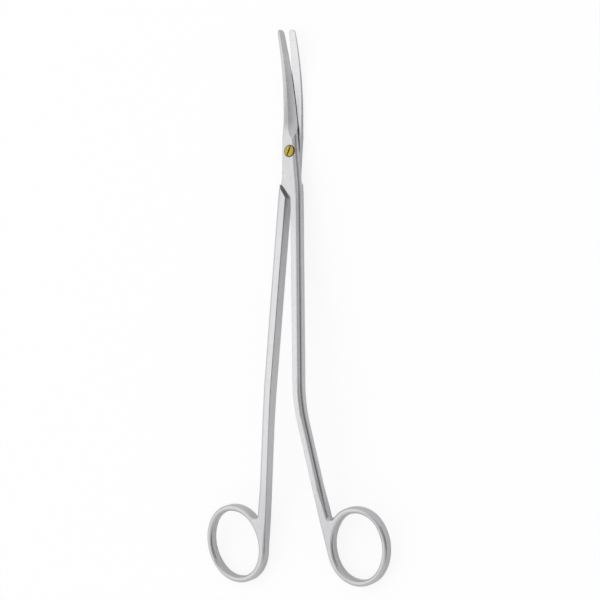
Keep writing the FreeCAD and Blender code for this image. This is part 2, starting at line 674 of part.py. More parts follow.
def make_grinding(doc, sheet, name, layer):
    """The two ground faces outside the blade, as one body to be taken off."""
    full = cell(sheet, "grind_start") + cell(sheet, "grind_run")
    end = cell(sheet, "blade_length") + cell(sheet, "blade_overrun")
    count = round((end - full) / cell(sheet, "grind_spacing"))
    stations = [full * step / 3 for step in range(4)]
    stations += [full + (end - full) * step / count for step in range(1, count + 1)]
    item = doc.addObject("Part::Feature", name + "_grinding")
    sections = [ground_section(sheet, layer, distance) for distance in stations]
    item.Shape = Part.makeLoft(sections, True, False)
    return item


def bore(doc, name, radius_rule, height_rule, low_rule):
    """A round tool on the pivot axis."""
    item = doc.addObject("Part::Cylinder", name)
    item.setExpression("Radius", radius_rule)
    item.setExpression("Height", height_rule)
    item.setExpression("Placement.Base.z", low_rule)
    return item


def make_half(doc, sheet, ring, name, layer, parts):
    """One forging, closed: the upper half is layer 1, the lower half, its counterpart, is -1."""
    handle_prism, blade_prism, band = parts
    if layer < 0:
        handle_prism = mirrored(doc, name + "_handle_prism", handle_prism)
        blade_prism = mirrored(doc, name + "_blade_prism", blade_prism)
    bar = boolean(doc, "Part::Common", name + "_bar", handle_prism, band)
    doc.recompute()
    handle = round_handle(doc, sheet, ring, name, bar, layer)
    forging = boolean(doc, "Part::Fuse", name + "_forging", handle, blade_prism)
    ground = boolean(doc, "Part::Cut", name + "_ground", forging,
                     make_grinding(doc, sheet, name, layer))
    faced = boolean(doc, "Part::Cut", name + "_faced", ground,
                    facing_tool(doc, sheet, name, layer))
    lapped = boolean(doc, "Part::Cut", name + "_lapped", faced,
                     lap_tool(doc, sheet, name, layer))
    if layer < 0:
        hole = bore(doc, "screw_thread_hole", "Sizes.screw_shank_diameter / 2",
                    "4 * Sizes.lap_half_thickness", "-2 * Sizes.lap_half_thickness")
        return boolean(doc, "Part::Cut", name, lapped, hole)
    hole = bore(doc, "screw_running_hole",
                "Sizes.screw_shank_diameter / 2 + Sizes.screw_clearance",
                "4 * Sizes.lap_half_thickness", "-2 * Sizes.lap_half_thickness")
    seat = bore(doc, "screw_head_seat",
                "Sizes.screw_head_diameter / 2 + Sizes.screw_seat_clearance",
                "Sizes.screw_head_height + Sizes.lap_half_thickness",
                "Sizes.lap_half_thickness + Sizes.screw_head_proud - Sizes.screw_head_height")
    bored = boolean(doc, "Part::Cut", name + "_bored", lapped, hole)
    return boolean(doc, "Part::Cut", name, bored, seat)


def plane_of(body, role):
    return next(item for item in body.Origin.OriginFeatures if item.Role == role)


def make_screw(doc, sheet):
    """The slotted pivot screw: domed head, plain shank, end flush inside the lower half."""
    body = doc.addObject("PartDesign::Body", "pivot_screw")
    profile = body.newObject("Sketcher::SketchObject", "screw_profile")
    profile.AttachmentSupport = [(plane_of(body, "XZ_Plane"), "")]
    profile.MapMode = "FlatFace"
    shank = cell(sheet, "screw_shank_diameter") / 2
    head = cell(sheet, "screw_head_diameter") / 2
    top = cell(sheet, "lap_half_thickness") + cell(sheet, "screw_head_proud")
    seat = top - cell(sheet, "screw_head_height")
    dome = cell(sheet, "screw_dome")
    end = -cell(sheet, "lap_half_thickness") + cell(sheet, "screw_end_depth")
    corners = [(0, end), (shank, end), (shank, seat), (head, seat), (head, top - dome)]
    for first, last in zip(corners, corners[1:]):
        profile.addGeometry(Part.LineSegment(FreeCAD.Vector(*first, 0), FreeCAD.Vector(*last, 0)))
    radius = (head ** 2 + dome ** 2) / (2 * dome)
    circle = Part.Circle(FreeCAD.Vector(0, top - radius, 0), FreeCAD.Vector(0, 0, 1), radius)
    half_angle = math.asin(head / radius)
    profile.addGeometry(Part.ArcOfCircle(circle, math.pi / 2 - half_angle, math.pi / 2))
    profile.addGeometry(Part.LineSegment(FreeCAD.Vector(0, top, 0), FreeCAD.Vector(0, end, 0)))
    profile.addConstraint([
        Sketcher.Constraint("Coincident", 0, 2, 1, 1),
        Sketcher.Constraint("Coincident", 1, 2, 2, 1),
        Sketcher.Constraint("Coincident", 2, 2, 3, 1),
        Sketcher.Constraint("Coincident", 3, 2, 4, 1),
        Sketcher.Constraint("Coincident", 4, 2, 5, 1),
        Sketcher.Constraint("Coincident", 5, 2, 0, 1),
        Sketcher.Constraint("Horizontal", 0),
        Sketcher.Constraint("Vertical", 1),
        Sketcher.Constraint("Horizontal", 2),
        Sketcher.Constraint("Vertical", 3),
        Sketcher.Constraint("Vertical", 5),
        Sketcher.Constraint("PointOnObject", 0, 1, -2),
        Sketcher.Constraint("PointOnObject", 4, 3, -2),
    ])
    bind(profile, "shank", "Sizes.screw_shank_diameter / 2", "DistanceX", -1, 1, 0, 2, shank)
    bind(profile, "head", "Sizes.screw_head_diameter / 2", "DistanceX", -1, 1, 3, 2, head)
    bind(profile, "top", "Sizes.lap_half_thickness + Sizes.screw_head_proud",
         "DistanceY", -1, 1, 4, 2, top)
    bind(profile, "height", "Sizes.screw_head_height", "DistanceY", 2, 1, 4, 2, top - seat)
    bind(profile, "dome", "Sizes.screw_dome", "DistanceY", 3, 2, 4, 2, dome)
    bind(profile, "end", "Sizes.lap_half_thickness - Sizes.screw_end_depth",
         "DistanceY", 0, 1, -1, 1, -end)
    turned = body.newObject("PartDesign::Revolution", "screw_turned")
    turned.Profile = profile
    turned.ReferenceAxis = (profile, ["V_Axis"])
    turned.Angle = 360
    slot = body.newObject("Sketcher::SketchObject", "slot_outline")
    slot.AttachmentSupport = [(plane_of(body, "XY_Plane"), "")]
    slot.MapMode = "FlatFace"
    width = cell(sheet, "screw_slot_width")
    reach = 2 * head
    add_lines(slot, [(-reach, -width / 2), (reach, -width / 2), (reach, width / 2),
                     (-reach, width / 2)])
    slot.addConstraint([
        Sketcher.Constraint("Horizontal", 0),
        Sketcher.Constraint("Vertical", 1),
        Sketcher.Constraint("Vertical", 3),
        Sketcher.Constraint("Symmetric", 0, 1, 2, 1, -1, 1),
    ])
    bind(slot, "width", "Sizes.screw_slot_width", "DistanceY", 1, 1, 1, 2, width)
    bind(slot, "reach", "2 * Sizes.screw_head_diameter", "DistanceX", 0, 1, 0, 2, 2 * reach)
    slot.AttachmentOffset = FreeCAD.Placement(
        FreeCAD.Vector(0, 0, 0), FreeCAD.Rotation(FreeCAD.Vector(0, 0, 1), 0)
    )
    slot.setExpression(
        "AttachmentOffset.Base.z",
        "Sizes.lap_half_thickness + Sizes.screw_head_proud - Sizes.screw_slot_depth",
    )
    slot.setExpression("AttachmentOffset.Rotation.Angle", "Sizes.screw_slot_angle * 1 deg")
    cut = body.newObject("PartDesign::Pocket", "screw_slot")
    cut.Profile = slot
    cut.Reversed = True
    cut.setExpression("Length", "Sizes.screw_slot_depth + Sizes.screw_head_height")
    doc.recompute()
    if cut.Shape.Volume >= turned.Shape.Volume:
        raise RuntimeError("the slot takes nothing off the screw")
    return body


def support_pitch(shapes, bend_distance):
    """Pitch at which the ring ends and the belly of the blades touch one level table."""
    points = []
    for shape in shapes:
        points += shape.tessellate(NEAR)[0]
    rear = [(point.y, point.z) for point in points if point.y < -bend_distance]
    front = [(point.y, point.z) for point in points if point.y >= -bend_distance]

    def lowest(side, pitch):
        return min(y * math.sin(pitch) + z * math.cos(pitch) for y, z in side)

    low, high = 0.0, math.radians(30)
    for _ in range(40):
        pitch = (low + high) / 2
        if lowest(rear, -pitch) < lowest(front, -pitch):
            low = pitch
        else:
            high = pitch
    return -math.degrees((low + high) / 2)


def turn(axis, angle):
    return FreeCAD.Placement(FreeCAD.Vector(0, 0, 0), FreeCAD.Rotation(axis, angle))


def lay_down(doc, sheet, upper, lower, screw):
    """Opens the halves to the rest angle and lays them on the table, middle of the box at X = Y = 0."""
    half_angle = cell(sheet, "rest_half_angle")
    up = FreeCAD.Vector(0, 0, 1)
    openings = {upper: turn(up, half_angle), lower: turn(up, -half_angle), screw: turn(up, 0)}
    opened = []
    for item, opening in openings.items():
        shape = item.Shape.copy()
        shape.Placement = opening
        opened.append(shape)
    pitch = turn(FreeCAD.Vector(1, 0, 0), support_pitch(opened, cell(sheet, "bend_distance")))
    for shape in opened:
        shape.Placement = pitch.multiply(shape.Placement)
    box = Part.Compound(opened).optimalBoundingBox(False, False)
    centre = FreeCAD.Vector(-(box.XMin + box.XMax) / 2, -(box.YMin + box.YMax) / 2, -box.ZMin)
    lift = FreeCAD.Placement(centre, FreeCAD.Rotation())
    for item, opening in openings.items():
        item.Placement = lift.multiply(pitch).multiply(opening)
    doc.recompute()


def check(doc, sub_parts):
    """Stops on a failed object or a sub-part that is not one valid solid."""
    for item in doc.Objects:
        if "Invalid" in item.State or "Error" in item.State:
            raise RuntimeError("%s failed: %s" % (item.Name, item.State))
    for item in sub_parts:
        shape = item.Shape
        if shape.isNull() or not shape.isValid() or len(shape.Solids) != 1:
            raise RuntimeError("%s is not one valid solid" % item.Label)


def build():
    doc = FreeCAD.newDocument("dissecting_scissors")
    sheet = make_sheet(doc)
    ring = RingLayout(sheet)
    parts = (
        make_handle_plan(doc, sheet, ring),
        make_blade_prism(doc, sheet),
        side_band(doc, sheet),
    )
    upper = make_half(doc, sheet, ring, "upper_half", 1, parts)
    lower = make_half(doc, sheet, ring, "lower_half", -1, parts)
    screw = make_screw(doc, sheet)
    doc.recompute()
    sub_parts = (upper, lower, screw)
    check(doc, sub_parts)
    lay_down(doc, sheet, upper, lower, screw)
    check(doc, sub_parts)
    os.makedirs("parts", exist_ok=True)
    for item in sub_parts:
        box = item.Shape.BoundBox
        print(item.Label, "%.1f mm3" % item.Shape.Volume,
              "%.2f x %.2f x %.2f" % (box.XLength, box.YLength, box.ZLength))
        item.Shape.exportStep("parts/%s.step" % item.Label)


build()
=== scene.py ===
"""Curved dissecting scissors in satin steel, lying on a pale studio table."""

import json
import logging
import math
from dataclasses import dataclass
from enum import Enum
from typing import Optional, Union

import bpy
from mathutils import Matrix, Vector

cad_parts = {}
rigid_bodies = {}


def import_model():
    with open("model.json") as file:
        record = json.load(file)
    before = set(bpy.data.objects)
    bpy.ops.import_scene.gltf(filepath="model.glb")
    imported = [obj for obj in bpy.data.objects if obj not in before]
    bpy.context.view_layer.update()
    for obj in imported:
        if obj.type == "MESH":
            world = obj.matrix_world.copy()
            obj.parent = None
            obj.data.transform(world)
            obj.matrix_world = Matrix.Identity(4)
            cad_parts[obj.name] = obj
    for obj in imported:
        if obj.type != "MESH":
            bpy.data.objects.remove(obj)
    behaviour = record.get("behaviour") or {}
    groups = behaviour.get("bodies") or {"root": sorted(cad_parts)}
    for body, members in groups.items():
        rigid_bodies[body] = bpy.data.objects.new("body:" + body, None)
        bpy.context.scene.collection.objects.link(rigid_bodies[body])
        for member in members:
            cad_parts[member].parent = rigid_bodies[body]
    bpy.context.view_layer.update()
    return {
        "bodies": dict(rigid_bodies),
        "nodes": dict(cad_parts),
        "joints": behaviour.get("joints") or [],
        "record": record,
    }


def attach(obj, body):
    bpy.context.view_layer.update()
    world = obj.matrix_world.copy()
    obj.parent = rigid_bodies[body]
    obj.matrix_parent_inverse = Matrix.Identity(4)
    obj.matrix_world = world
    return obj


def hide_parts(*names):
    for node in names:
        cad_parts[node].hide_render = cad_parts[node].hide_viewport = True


Colour = tuple[float, float, float, float]
Span = tuple[float, float]
Value = Union[float, Colour, Vector, bpy.types.NodeSocket]

LOG = logging.getLogger("scissors")

MM = 0.001
PIVOT = Vector((0.0, 71.21, 3.801)) * MM
PIVOT_AXIS = Vector((0.0, 0.0883284, 0.9960914))
RISING: Span = (0.0, 1.0)
FALLING: Span = (1.0, 0.0)


class Lay(Enum):
    """Which way the grinding marks run, as the stretch of their pattern."""

    ALONG = (1.0, 0.04, 1.0)
    ACROSS = (0.06, 1.0, 0.06)


class Graph:
    """A node tree with short calls that add and feed its nodes."""

    MIX_INPUTS = (0, 6, 7)
    MIX_RESULT = 2

    def __init__(self, tree: bpy.types.NodeTree) -> None:
        """Takes over a tree and empties it.

        Args:
            tree: the tree that new nodes go into.
        """
        self.tree = tree
        self.tree.nodes.clear()

    def add(self, kind: str, **settings: object) -> bpy.types.Node:
        """Adds one node.

        Args:
            kind: Blender's name for the node's type.
            settings: properties set on the new node.

        Returns:
            The new node.
        """
        node = self.tree.nodes.new(kind)
        for name, value in settings.items():
            setattr(node, name, value)
        return node

    def feed(self, value: Value, target: bpy.types.NodeSocket) -> None:
        """Links an output socket to an input, or gives the input a plain value.

        Args:
            value: the socket or the value.
            target: the input.
        """
        if isinstance(value, bpy.types.NodeSocket):
            self.tree.links.new(value, target)
        else:
            target.default_value = value

    def math(self, kind: str, first: Value, second: Value) -> bpy.types.NodeSocket:
        """Works out one number from two.

        Args:
            kind: the operation of a Math node.
            first: a socket or a number.
            second: a socket or a number.

        Returns:
            The result.
        """
        node = self.add("ShaderNodeMath", operation=kind)
        self.feed(first, node.inputs[0])
        self.feed(second, node.inputs[1])
        return node.outputs[0]

    def vector_math(self, kind: str, first: Value, second: Value) -> bpy.types.Node:
        """Joins two vectors in a Vector Math node.

        Args:
            kind: the node's operation.
            first: a socket or a vector.
            second: a socket or a vector.

        Returns:
            The node; its result is Vector or Value, as the operation has it.
        """
        node = self.add("ShaderNodeVectorMath", operation=kind)
        self.feed(first, node.inputs[0])
        self.feed(second, node.inputs[1])
        return node

    def blend(self, factor: Value, first: Value, second: Value) -> bpy.types.NodeSocket:
        """Mixes two colours.

        Args:
            factor: a socket or a number, 0 for the first colour.
            first: a socket or a colour.
            second: a socket or a colour.

        Returns:
            The mixed colour.
        """
        node = self.add("ShaderNodeMix", data_type="RGBA")
        for place, value in zip(self.MIX_INPUTS, (factor, first, second)):
            self.feed(value, node.inputs[place])
        return node.outputs[self.MIX_RESULT]

    def ramp(self, value: bpy.types.NodeSocket, span: Span,
             target: Span) -> bpy.types.NodeSocket:
        """Maps a span of values smoothly onto another, clamped at both ends.

        Args:
            value: what is mapped.
            span: the two values where the ramp begins and ends.
            target: what they become.

        Returns:
            The mapped value.
        """
        node = self.add("ShaderNodeMapRange", interpolation_type="SMOOTHSTEP")
        self.feed(value, node.inputs["Value"])
        for name, number in zip(("From Min", "From Max", "To Min", "To Max"),
                                (*span, *target)):
            self.feed(number, node.inputs[name])
        return node.outputs["Result"]

    def noise(self, place: bpy.types.NodeSocket, scale: Value, detail: float,
              dimensions: str = "3D") -> bpy.types.NodeSocket:
        """Adds a noise pattern.

        Args:
            place: where the pattern is read, a number if it has one dimension.
            scale: how many cells it has per metre.
            detail: how many finer layers it has.
            dimensions: "3D" or "1D".

        Returns:
            The noise, about 0.5 on average.
        """
        node = self.add("ShaderNodeTexNoise", noise_dimensions=dimensions)
        self.feed(place, node.inputs["W" if dimensions == "1D" else "Vector"])
        self.feed(scale, node.inputs["Scale"])
        self.feed(detail, node.inputs["Detail"])
        return node.outputs["Fac"]

    def openness(self, reach: float, samples: int, **settings: bool) -> bpy.types.NodeSocket:
        """Measures how open each point is, by ambient occlusion.

        Args:
            reach: how far off a surface still counts, in metres.
            samples: how many rays are tried.
            settings: inside or only_local, set on the node.

        Returns:
            A socket from 0, closed in, to 1, open.
        """
        node = self.add("ShaderNodeAmbientOcclusion", samples=samples, **settings)
        self.feed(reach, node.inputs["Distance"])
        return node.outputs["AO"]

    def rounded(self, reach: Value, samples: int) -> bpy.types.NodeSocket:
        """Gives the normals that edges would have if they were rounded.

        Args:
            reach: the radius of the rounding, in metres.
            samples: how many rays are tried.

        Returns:
            The normal.
        """
        node = self.add("ShaderNodeBevel", samples=samples)
        self.feed(reach, node.inputs["Radius"])
        return node.outputs[0]

    def bump(self, height: bpy.types.NodeSocket, depth: float, strength: float,
             normal: Optional[bpy.types.NodeSocket] = None) -> bpy.types.NodeSocket:
        """Turns a fine relief into normals.

        Args:
            height: the relief, from 0 to 1.
            depth: what a height of 1 stands for, in metres.
            strength: the share of the effect that is kept.
            normal: the normal it starts from, the surface's own if it is None.

        Returns:
            The normal.
        """
        node = self.add("ShaderNodeBump")
        self.feed(height, node.inputs["Height"])
        self.feed(depth, node.inputs["Distance"])
        self.feed(strength, node.inputs["Strength"])
        if normal is not None:
            self.feed(normal, node.inputs["Normal"])
        return node.outputs[0]

    def show(self, shader: bpy.types.NodeSocket,
             kind: str = "ShaderNodeOutputMaterial") -> None:
        """Makes a shader the result of the tree.

        Args:
            shader: the shader's socket.
            kind: the type of the output node, for a material or for the world.
        """
        self.feed(shader, self.add(kind).inputs["Surface"])


def grey(level: float) -> Colour:
    """Makes a neutral colour.

    Args:
        level: how light it is, 1 for white.

    Returns:
        The colour.
    """
    return (level, level, level, 1.0)


def new_material(name: str) -> tuple[bpy.types.Material, Graph]:
    """Makes a material with an empty node tree.

    Args:
        name: the material's name.

    Returns:
        The material and the graph that fills it.
    """
    made = bpy.data.materials.new(name)
    made.use_nodes = True
    return made, Graph(made.node_tree)


class SharedEffect:
    """A node group that is made once and used by several finishes."""

    NAME = ""
    VECTORS: tuple[str, ...] = ()
    NUMBERS: dict[str, float] = {}
    RESULTS: tuple[str, ...] = ()

    @classmethod
    def group(cls) -> bpy.types.NodeTree:
        """Finds the group, or makes it on its first use.

        Returns:
            The node group.
        """
        if cls.NAME in bpy.data.node_groups:
            return bpy.data.node_groups[cls.NAME]
        tree = bpy.data.node_groups.new(cls.NAME, "ShaderNodeTree")
        face = tree.interface
        for name in cls.VECTORS:
            face.new_socket(name, in_out="INPUT", socket_type="NodeSocketVector")
        for name, value in cls.NUMBERS.items():
            made = face.new_socket(name, in_out="INPUT", socket_type="NodeSocketFloat")
            made.default_value = value
        for name in cls.RESULTS:
            face.new_socket(name, in_out="OUTPUT", socket_type="NodeSocketFloat")
        graph = Graph(tree)
        cls.fill(graph, graph.add("NodeGroupInput"), graph.add("NodeGroupOutput"))
        return tree

    @classmethod
    def fill(cls, graph: Graph, entry: bpy.types.Node, leave: bpy.types.Node) -> None:
        """Builds the effect.

        Args:
            graph: the group's graph.
            entry: the node that holds the group's inputs.
            leave: the node that takes its results.
        """
        raise NotImplementedError


class FineGrain(SharedEffect):
    """A blasted satin grain with faint streaks along the lay."""

    NAME = "fine grain"
    VECTORS = ("Place", "Lay")
    NUMBERS = {"Grain Scale": 3000.0, "Streak Scale": 4000.0, "Streak Share": 0.5}
    RESULTS = ("Tone", "Height")
    GRAIN_DETAIL = 3
    STREAK_DETAIL = 4
    TONE_SPAN: Span = (0.3, 0.7)

    @classmethod
    def fill(cls, graph: Graph, entry: bpy.types.Node, leave: bpy.types.Node) -> None:
        """Mixes specks and streaks.

        Args:
            graph: the group's graph.
            entry: the node that holds the group's inputs.
            leave: the node that takes its results.
        """
        place, share = entry.outputs["Place"], entry.outputs["Streak Share"]
        specks = graph.noise(place, entry.outputs["Grain Scale"], cls.GRAIN_DETAIL)
        stretched = graph.vector_math("MULTIPLY", place, entry.outputs["Lay"])
        streaks = graph.noise(stretched.outputs["Vector"], entry.outputs["Streak Scale"],
                              cls.STREAK_DETAIL)
        rest = graph.math("SUBTRACT", 1.0, share)
        mixed = graph.math("ADD", graph.math("MULTIPLY", streaks, share),
                           graph.math("MULTIPLY", specks, rest))
        graph.feed(graph.ramp(mixed, cls.TONE_SPAN, RISING), leave.inputs["Tone"])
        graph.feed(mixed, leave.inputs["Height"])


class WornEdgeHighlight(SharedEffect):
    """A mask of the sharp edges, brightened as worn metal and as a painted highlight."""

    NAME = "edge wear highlight"
    NUMBERS = {"Reach": 0.3 * MM}
    RESULTS = ("Mask",)
    SAMPLES = 6
    TURN_SPAN: Span = (0.86, 0.995)

    @classmethod
    def fill(cls, graph: Graph, entry: bpy.types.Node, leave: bpy.types.Node) -> None:
        """Compares the rounded normal with the true one.

        Args:
            graph: the group's graph.
            entry: the node that holds the group's inputs.
            leave: the node that takes its results.
        """
        soft = graph.rounded(entry.outputs["Reach"], cls.SAMPLES)
        true = graph.add("ShaderNodeNewGeometry").outputs["Normal"]
        turn = graph.vector_math("DOT_PRODUCT", soft, true)
        graph.feed(graph.ramp(turn.outputs["Value"], cls.TURN_SPAN, FALLING),
                   leave.inputs["Mask"])


@dataclass(frozen=True)
class Zone:
    """A stretch of the instrument: where it begins and where it is in full, in metres."""

    begin: float
    full: float

    def share(self, graph: Graph, along: bpy.types.NodeSocket,
              most: float = 1.0) -> bpy.types.NodeSocket:
        """Finds how much each point belongs to the zone.

        Args:
            graph: the material's graph.
            along: the distance along the instrument.
            most: the value where the zone is in full.

        Returns:
            A socket that is 0 outside the zone.
        """
        return graph.ramp(along, (self.begin, self.full), (0.0, most))


@dataclass(frozen=True, kw_only=True)
class MetalFinish:
    """A metal whose grain runs between a shade and a lighter, smoother colour."""

    name: str
    colour: Colour
    shade: Colour
    roughness: float
    gloss_steps: Span
    relief_depth: float
    relief_strength: float = 0.25
    # reach and strength of the painted shade in crevices
    crevice_reach: float
    crevice_span: Span
    crevice_samples: int = 8

    def material(self) -> bpy.types.Material:
        """Builds the finish.

        Returns:
            The material, read from Object coordinates alone.
        """
        made, graph = new_material(self.name)
        metal = graph.add("ShaderNodeBsdfPrincipled")
        graph.feed(1.0, metal.inputs["Metallic"])
        self.paint(graph, graph.add("ShaderNodeTexCoord").outputs["Object"], metal)
        graph.show(metal.outputs[0])
        return made

    def paint(self, graph: Graph, place: bpy.types.NodeSocket,
              metal: bpy.types.Node) -> None:
        """Feeds the metal's colour, roughness and normal.

        Args:
            graph: the material's graph.
            place: the Object coordinates.
            metal: the shader node.
        """
        raise NotImplementedError

    def gloss(self, graph: Graph, tone: bpy.types.NodeSocket) -> bpy.types.NodeSocket:
        """Finds the roughness at each tone of the grain.

        Args:
            graph: the material's graph.
            tone: the grain, 0 in the shade and 1 in the colour.

        Returns:
            The roughness.
        """
        rough, smooth = (self.roughness + step for step in self.gloss_steps)
        return graph.ramp(tone, RISING, (rough, smooth))


@dataclass(frozen=True, kw_only=True)
class SteelFinish(MetalFinish):
    """Satin stainless steel, with grinding marks across the blade and lengthwise elsewhere."""

    colour: Colour = (0.560, 0.558, 0.570, 1.0)
    shade: Colour = (0.490, 0.488, 0.500, 1.0)
    roughness: float = 0.30
    gloss_steps: Span = (0.05, -0.04)
    blade_gloss: float = 0.06
    relief_depth: float = 0.035 * MM
    edge_radius: float = 0.3 * MM
    edge_samples: int = 8
    # edges brightened as wear and as a painted highlight
    edge_shine: float = 0.3
    edge_wear_highlight_colour: Colour = grey(0.80)
    # painted shade in crevices and between the two halves
    crevice_reach: float = 1.4 * MM
    crevice_span: Span = (0.4, 0.92)
    crevice_shade_share: float = 0.8
    crevice_shade_colour: Colour = grey(0.08)
    crosswise: Zone = Zone(0.085, 0.089)
    hollow: Zone = Zone(0.080, 0.086)
    hollow_reach: float = 2.4 * MM
    hollow_samples: int = 16
    hollow_span: Span = (0.05, 0.70)
    # painted light at the thin edge and painted shade at the ridge of the blade
    blade_painted_light_and_shade: Span = (0.12, -0.20)
    work: Zone = Zone(0.027, 0.052)
    # painted shade over the lap and blade
    work_painted_shade: float = -0.07
    ring: Zone = Zone(-0.070, -0.095)
    # painted shade over the finger rings
    ring_painted_shade: float = -0.10

    def paint(self, graph: Graph, place: bpy.types.NodeSocket,
              metal: bpy.types.Node) -> None:
        """Lays the grain on the metal, and over it worn edges with a painted highlight, and
        painted light and shade.

        Args:
            graph: the material's graph.
            place: the Object coordinates.
            metal: the shader node.
        """
        axes = graph.add("ShaderNodeSeparateXYZ")
        graph.feed(place, axes.inputs[0])
        along = axes.outputs["Y"]
        blade = self.crosswise.share(graph, along)
        grain = graph.add("ShaderNodeGroup", node_tree=FineGrain.group())
        graph.feed(place, grain.inputs["Place"])
        graph.feed(graph.blend(blade, (*Lay.ALONG.value, 1.0), (*Lay.ACROSS.value, 1.0)),
                   grain.inputs["Lay"])
        tone = grain.outputs["Tone"]
        even = graph.blend(tone, self.shade, self.colour)
        painted_light_and_shade = self.painted_light_and_shade(graph, even, along)
        graph.feed(self.edge_highlight_and_crevice_shade(graph, painted_light_and_shade), metal.inputs["Base Color"])
        finer = graph.math("MULTIPLY", blade, self.blade_gloss)
        graph.feed(graph.math("SUBTRACT", self.gloss(graph, tone), finer),
                   metal.inputs["Roughness"])
        soft = graph.rounded(self.edge_radius, self.edge_samples)
        graph.feed(graph.bump(grain.outputs["Height"], self.relief_depth,
                              self.relief_strength, soft), metal.inputs["Normal"])

    def painted_light_and_shade(self, graph: Graph, colour: bpy.types.NodeSocket,
               along: bpy.types.NodeSocket) -> bpy.types.NodeSocket:
        """Paints light and shade on the hollow grinding of the blade, lighter at the thin edge
        and darker at the ridge, and paints shade over lap, blade and ring.

        Args:
            graph: the material's graph.
            colour: the even colour.
            along: the distance along the instrument, in metres.

        Returns:
            The shaded colour.
        """
        # the blade's thickness drives its painted light and shade
        thickness = graph.openness(self.hollow_reach, self.hollow_samples,
                                   inside=True, only_local=True)
        across = graph.ramp(thickness, self.hollow_span, self.blade_painted_light_and_shade)
        blade = graph.math("MULTIPLY", self.hollow.share(graph, along), across)
        ends = graph.math("ADD", self.ring.share(graph, along, self.ring_painted_shade),
                          self.work.share(graph, along, self.work_painted_shade))
        level = graph.math("ADD", graph.math("ADD", blade, ends), 1.0)
        scaled = graph.add("ShaderNodeVectorMath", operation="SCALE")
        graph.feed(colour, scaled.inputs[0])
        graph.feed(level, scaled.inputs["Scale"])
        return scaled.outputs["Vector"]

    def edge_highlight_and_crevice_shade(self, graph: Graph, colour: bpy.types.NodeSocket) -> bpy.types.NodeSocket:
        """Brightens the edges as wear and as a painted highlight, and paints shade into the
        crevices and where the parts close in.

        Args:
            graph: the material's graph.
            colour: the colour before the edges and crevices are painted.

        Returns:
            The colour in use.
        """
        edge = graph.add("ShaderNodeGroup", node_tree=WornEdgeHighlight.group())
        # painted highlight, with wear, along the edges
        shine = graph.math("MULTIPLY", edge.outputs["Mask"], self.edge_shine)
        worn_and_highlit = graph.blend(shine, colour, self.edge_wear_highlight_colour)
        # painted shade where surfaces of any part close in
        opened = graph.openness(self.crevice_reach, self.crevice_samples)
        painted_shade_mask = graph.ramp(opened, self.crevice_span, (self.crevice_shade_share, 0.0))
        return graph.blend(painted_shade_mask, worn_and_highlit, self.crevice_shade_colour)


@dataclass(frozen=True, kw_only=True)
class GiltFinish(MetalFinish):
    """Gold coloured screw metal with turned rings, with painted shade at the rim and in the
    slot.
    """

    centre: Vector
    axis: Vector
    head_radius: float
    colour: Colour = (0.40, 0.33, 0.07, 1.0)
    shade: Colour = (0.30, 0.235, 0.045, 1.0)
    # colour of the painted shade at the rim and in the slot
    painted_shade_colour: Colour = (0.06, 0.043, 0.006, 1.0)
    roughness: float = 0.27
    gloss_steps: Span = (0.06, -0.04)
    relief_depth: float = 0.02 * MM
    crevice_reach: float = 0.5 * MM
    crevice_span: Span = (0.45, 0.95)
    rim_span: Span = (0.86, 0.97)
    rim_share: float = 0.85
    turning_scale: float = 14000.0
    turning_detail: float = 2.0
    turning_share: float = 0.6
    grain_scale: float = 5200.0

    def paint(self, graph: Graph, place: bpy.types.NodeSocket,
              metal: bpy.types.Node) -> None:
        """Lays the turned rings on the metal and paints shade at the rim and in the slot.

        Args:
            graph: the material's graph.
            place: the Object coordinates.
            metal: the shader node.
        """
        radius = self.distance_from_axis(graph, place)
        turned = graph.noise(radius, self.turning_scale, self.turning_detail, "1D")
        grain = graph.add("ShaderNodeGroup", node_tree=FineGrain.group())
        graph.feed(place, grain.inputs["Place"])
        graph.feed(self.grain_scale, grain.inputs["Grain Scale"])
        graph.feed(0.0, grain.inputs["Streak Share"])
        tone = graph.math("ADD", graph.math("MULTIPLY", turned, self.turning_share),
                          graph.math("MULTIPLY", grain.outputs["Tone"],
                                     1 - self.turning_share))
        # painted shade in the slot
        opened = graph.openness(self.crevice_reach, self.crevice_samples, only_local=True)
        # painted shade at the head's rim
        near, far = (share * self.head_radius for share in self.rim_span)
        painted_shade_mask = graph.math("MAXIMUM", graph.ramp(opened, self.crevice_span, FALLING),
                          graph.ramp(radius, (near, far), (0.0, self.rim_share)))
        unshaded_colour = graph.blend(tone, self.shade, self.colour)
        graph.feed(graph.blend(painted_shade_mask, unshaded_colour, self.painted_shade_colour), metal.inputs["Base Color"])
        graph.feed(self.gloss(graph, tone), metal.inputs["Roughness"])
        graph.feed(graph.bump(tone, self.relief_depth, self.relief_strength),
                   metal.inputs["Normal"])

    def distance_from_axis(self, graph: Graph,
                           place: bpy.types.NodeSocket) -> bpy.types.NodeSocket:
        """Measures how far each point lies from the screw's axis.

        Args:
            graph: the material's graph.
            place: the Object coordinates.

        Returns:
            The distance, in metres.
        """
        apart = graph.vector_math("SUBTRACT", place, self.centre)
        across = graph.vector_math("CROSS_PRODUCT", apart.outputs["Vector"], self.axis)
        length = graph.add("ShaderNodeVectorMath", operation="LENGTH")
        graph.feed(across.outputs["Vector"], length.inputs[0])
        return length.outputs["Value"]


def dress(node: bpy.types.Object, material: bpy.types.Material) -> None:
    """Gives a frame node one material over all of its surface.

    Args:
        node: the node's object.
        material: the finish that takes every slot.
    """
    if not node.material_slots:
        node.data.materials.append(material)
    for place in node.material_slots:
        place.material = material


@dataclass
class ScissorHalf:
    """One forging: blade, lap, shank and finger ring."""

    node: str
    finish: SteelFinish

    def build(self, frame: dict) -> None:
        """Dresses the half.
        """
        dress(frame["nodes"][self.node], self.finish.material())
        LOG.info("%s dressed in %s", self.node, self.finish.name)


